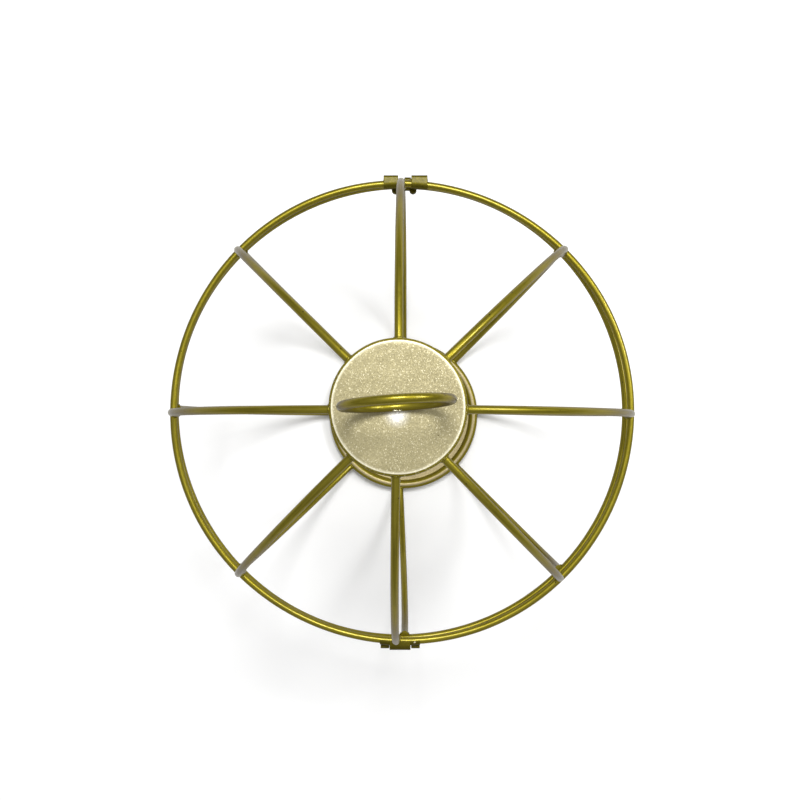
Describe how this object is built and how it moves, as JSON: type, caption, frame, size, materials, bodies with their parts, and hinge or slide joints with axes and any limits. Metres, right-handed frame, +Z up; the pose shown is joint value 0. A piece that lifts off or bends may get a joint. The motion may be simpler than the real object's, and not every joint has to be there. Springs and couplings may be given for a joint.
{
  "type": "wreath frame",
  "caption": "Hinged wire orb frame: two half cages of round wire with a cap and hanging loop on top, a dish below, a pin hinge and a tongue latch.",
  "frame": {"origin": "centre of the dish's flat underside, which stands on the table", "axes": "+Z up through the cap and the hanging loop, +Y towards the hinge, -Y towards the latch"},
  "size_m": [0.1957, 0.1992, 0.2231],
  "materials": {
    "wire_paint": "satin gold metallic paint on wire",
    "plate_paint": "champagne gold metallic paint with fine flake",
    "leaf_paint": "satin gold metallic paint on sheet",
    "pin_paint": "satin gold metallic paint, rubbed"
  },
  "bodies": {
    "lower_half": {"base_dish": "plate_paint", "lower_rib_1": "wire_paint", "lower_rib_2": "wire_paint", "lower_rib_3": "wire_paint", "lower_rib_4": "wire_paint", "lower_rib_5": "wire_paint", "lower_rib_6": "wire_paint", "lower_rib_7": "wire_paint", "lower_rib_8": "wire_paint", "lower_ring": "wire_paint", "hinge_knuckle": "leaf_paint", "latch_clip": "leaf_paint"},
    "upper_half": {"upper_ring": "wire_paint", "upper_rib_1": "wire_paint", "upper_rib_2": "wire_paint", "upper_rib_3": "wire_paint", "upper_rib_4": "wire_paint", "upper_rib_5": "wire_paint", "upper_rib_6": "wire_paint", "upper_rib_7": "wire_paint", "upper_rib_8": "wire_paint", "top_cap": "plate_paint", "hanging_loop": "wire_paint", "hinge_strap_left": "leaf_paint", "hinge_strap_right": "leaf_paint", "hinge_pin": "pin_paint", "latch_tab": "leaf_paint"}
  },
  "joints": [
    {"name": "cage_hinge", "type": "hinge", "parent": "lower_half", "child": "upper_half", "pos_m": [0, 0.09755, 0.09107], "axis": [-1, 0, 0], "range_deg": [0, 130]}
  ]
}
